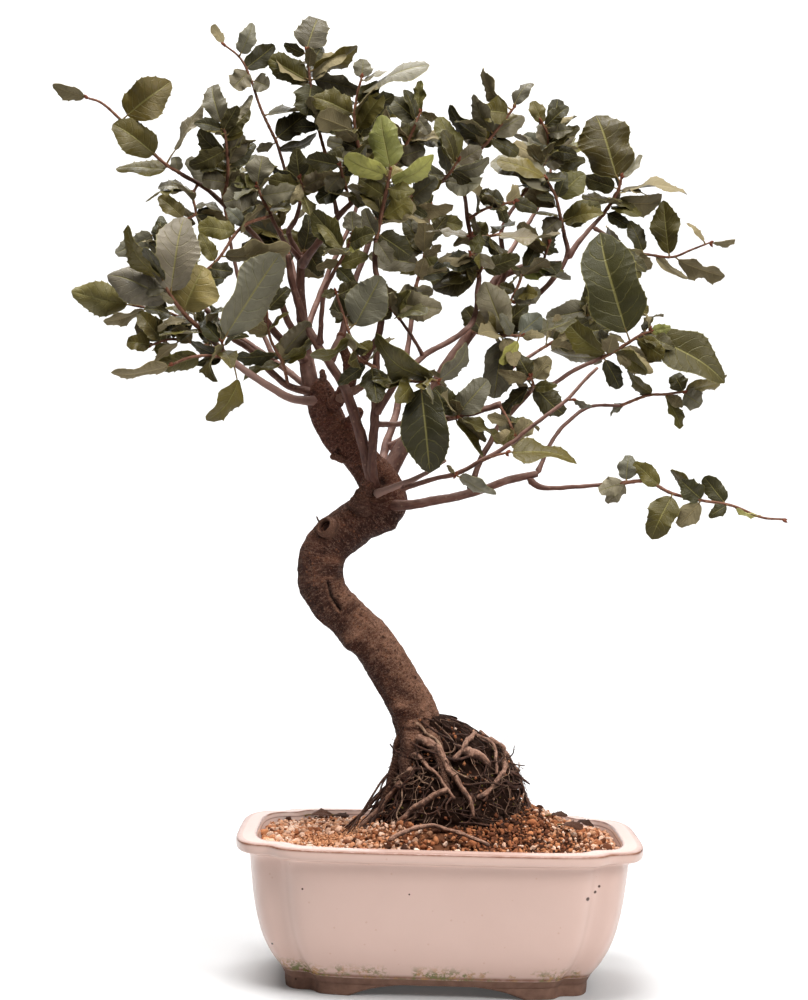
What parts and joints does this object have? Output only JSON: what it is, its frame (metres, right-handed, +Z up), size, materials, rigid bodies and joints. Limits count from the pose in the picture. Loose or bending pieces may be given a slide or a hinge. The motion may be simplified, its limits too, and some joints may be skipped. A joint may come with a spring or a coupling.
{
  "type": "cork oak bonsai",
  "caption": "Small cork oak trained with a curved trunk over exposed roots, toothed leaves on thin shoots, planted in gravelly soil in a lobed rectangular glazed pot on feet.",
  "frame": {"origin": "middle of the bottom of the whole object's box, on the surface that the pot's feet stand on", "axes": "+Z up, +X to the right of a viewer who faces the long front of the pot, +Y away from that viewer"},
  "size_m": [0.4648, 0.2248, 0.6069],
  "materials": {
    "glaze": "glossy pinkish cream glaze",
    "soil": "dry granular soil and gravel",
    "bark": "rough bark",
    "screen": "matt plastic mesh",
    "leaf_pale": "pale dull undersides of leaves",
    "leaf_grey": "grey-green leaves with a soft gloss",
    "leaf_dark": "glossy dark green leaves",
    "leaf_young": "soft light green young leaves",
    "leaf_olive": "glossy olive green leaves"
  },
  "bodies": {
    "root": {"pot": "glaze", "soil": "soil", "tree": "bark", "drainage_screen_left": "screen", "drainage_screen_right": "screen", "shoot_left_branch": "leaf_pale", "shoot_upper_left": "leaf_pale", "shoot_left_crest": "leaf_grey", "shoot_crest": "leaf_grey", "shoot_top_middle": "leaf_grey", "shoot_top_right_middle": "leaf_dark", "shoot_young_middle": "leaf_young", "shoot_middle_left": "leaf_dark", "shoot_left_inner": "leaf_dark", "shoot_left_middle": "leaf_grey", "shoot_left_hanging": "leaf_olive", "shoot_left_large": "leaf_olive", "shoot_left_low": "leaf_olive", "shoot_left_far": "leaf_olive", "shoot_left_top_small": "leaf_olive", "shoot_left_drooping": "leaf_pale", "shoot_left_front": "leaf_grey", "shoot_left_centre": "leaf_pale", "shoot_behind_fork": "leaf_olive", "shoot_centre_left": "leaf_grey", "shoot_centre_grey": "leaf_grey", "shoot_centre_wide": "leaf_grey", "shoot_centre_low": "leaf_dark", "shoot_under_fork": "leaf_grey", "shoot_low_right_leaf": "leaf_olive", "shoot_low_curled": "leaf_grey", "shoot_right_inner": "leaf_dark", "shoot_pale_cluster": "leaf_pale", "shoot_centre_fan": "leaf_grey", "shoot_right_upper_low": "leaf_grey", "shoot_middle_dark": "leaf_dark", "shoot_middle_level": "leaf_grey", "shoot_tan_leaf": "leaf_pale", "shoot_right_dark": "leaf_dark", "shoot_right_grey": "leaf_grey", "shoot_right_crest": "leaf_grey", "shoot_right_of_middle": "leaf_olive", "shoot_middle_upper": "leaf_dark", "shoot_upper_right": "leaf_olive", "shoot_right_tip": "leaf_olive", "shoot_right_large": "leaf_olive", "shoot_right_overlay": "leaf_olive", "shoot_right_low": "leaf_dark", "shoot_right_spur": "leaf_grey", "shoot_right_stub": "leaf_dark", "shoot_right_low_tip": "leaf_grey", "shoot_back_left": "leaf_dark", "shoot_back_middle": "leaf_dark", "shoot_back_right": "leaf_dark", "shoot_back_top": "leaf_dark", "shoot_back_right_top": "leaf_dark", "shoot_back_left_low": "leaf_dark", "shoot_back_left_top": "leaf_dark"}
  },
  "joints": []
}
